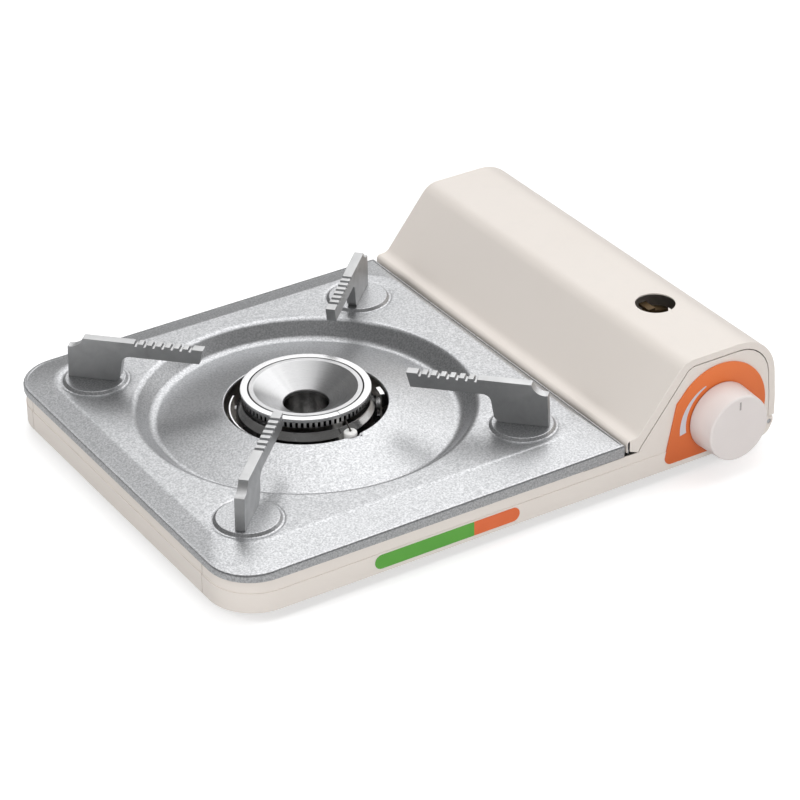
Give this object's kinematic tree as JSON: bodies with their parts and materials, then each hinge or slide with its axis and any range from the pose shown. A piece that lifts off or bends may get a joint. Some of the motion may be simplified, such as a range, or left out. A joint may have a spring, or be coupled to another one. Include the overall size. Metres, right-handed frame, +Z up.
{
  "type": "portable gas stove",
  "caption": "Slim tabletop gas stove with a pressed dish plate, funnel burner, serrated pan supports, a hinged canister lid and a round ignition knob.",
  "frame": {"origin": "middle of the stove's outline on the table, from the plate's left edge to the lid's right wall and from the knob's face to the plate's rear edge", "axes": "+X to the user's right towards the canister bay, +Y to the back, +Z up from the table"},
  "size_m": [0.3648, 0.2932, 0.0745],
  "materials": {
    "cream_enamel": "gloss",
    "plate_steel": "satin metallic",
    "zinc_steel": "satin",
    "bright_steel": "brushed",
    "support_grey": "matt",
    "burner_casting": "satin",
    "brass": "satin",
    "pressure_casting": "matt",
    "foot_rubber": "matt",
    "seal_rubber": "matt",
    "lead_rubber": "satin",
    "knob_plastic": "satin",
    "black_plastic": "matt",
    "white_plastic": "matt",
    "ceramic": "glazed",
    "magnet": "matt",
    "dial_orange": "satin",
    "scale_white": "satin",
    "label_green": "satin",
    "label_orange": "satin"
  },
  "bodies": {
    "case": {"base_pan": "cream_enamel", "base_walls": "cream_enamel", "front_panel": "cream_enamel", "rear_panel": "cream_enamel", "bay_partition": "zinc_steel", "feet": "foot_rubber", "case_screws": "zinc_steel", "lid_hinge_pins": "zinc_steel", "burner_body": "burner_casting", "burner_port_ring": "burner_casting", "burner_cone": "bright_steel", "burner_cap_ring": "bright_steel", "burner_bracket": "bright_steel", "burner_screws": "zinc_steel", "air_shutter": "zinc_steel", "gas_nozzle": "brass", "nozzle_bracket": "zinc_steel", "gas_pipe": "brass", "pipe_nut": "brass", "heat_plate": "bright_steel", "electrode_pin": "bright_steel", "electrode_ceramic": "ceramic", "electrode_clip": "zinc_steel", "ignition_lead": "lead_rubber", "valve_bracket": "zinc_steel", "valve_body": "brass", "valve_screws": "zinc_steel", "igniter_body": "black_plastic", "regulator_body": "pressure_casting", "regulator_cover": "zinc_steel", "regulator_screws": "zinc_steel", "canister_magnet_ring": "magnet", "canister_guide_pin": "zinc_steel", "inlet_seal": "seal_rubber", "dial_plate": "dial_orange", "dial_scale": "scale_white", "label_green": "label_green", "label_orange": "label_orange"},
    "lid": {"canister_lid": "cream_enamel"},
    "control": {"control_knob": "knob_plastic", "valve_stem": "brass", "igniter_cam": "black_plastic"},
    "plunger": {"igniter_plunger": "white_plastic"},
    "plate": {"top_plate": "plate_steel", "pan_support_front_left": "support_grey", "pan_support_front_right": "support_grey", "pan_support_rear_left": "support_grey", "pan_support_rear_right": "support_grey", "pan_support_screws": "zinc_steel"}
  },
  "joints": [
    {"name": "lid_hinge", "type": "hinge", "parent": "case", "child": "lid", "pos_m": [0.1784, 0.00988, 0.015], "axis": [0, 1, 0], "range_deg": [0, 95]},
    {"name": "knob_turn", "type": "hinge", "parent": "case", "child": "control", "pos_m": [0.1406, -0.12748, 0.0324], "axis": [0, -1, 0], "range_deg": [0, 110]},
    {"name": "plunger_slide", "type": "slide", "parent": "case", "child": "plunger", "axis": [-1, 0, 0], "range_m": [0, 0.004]},
    {"name": "plate_lift", "type": "slide", "parent": "case", "child": "plate", "axis": [0, 0, 1], "range_m": [0, 0.06]}
  ],
  "couplings": [
    {"joint": "plunger_slide", "follows": "knob_turn", "m_per_rad": 0.002083}
  ]
}
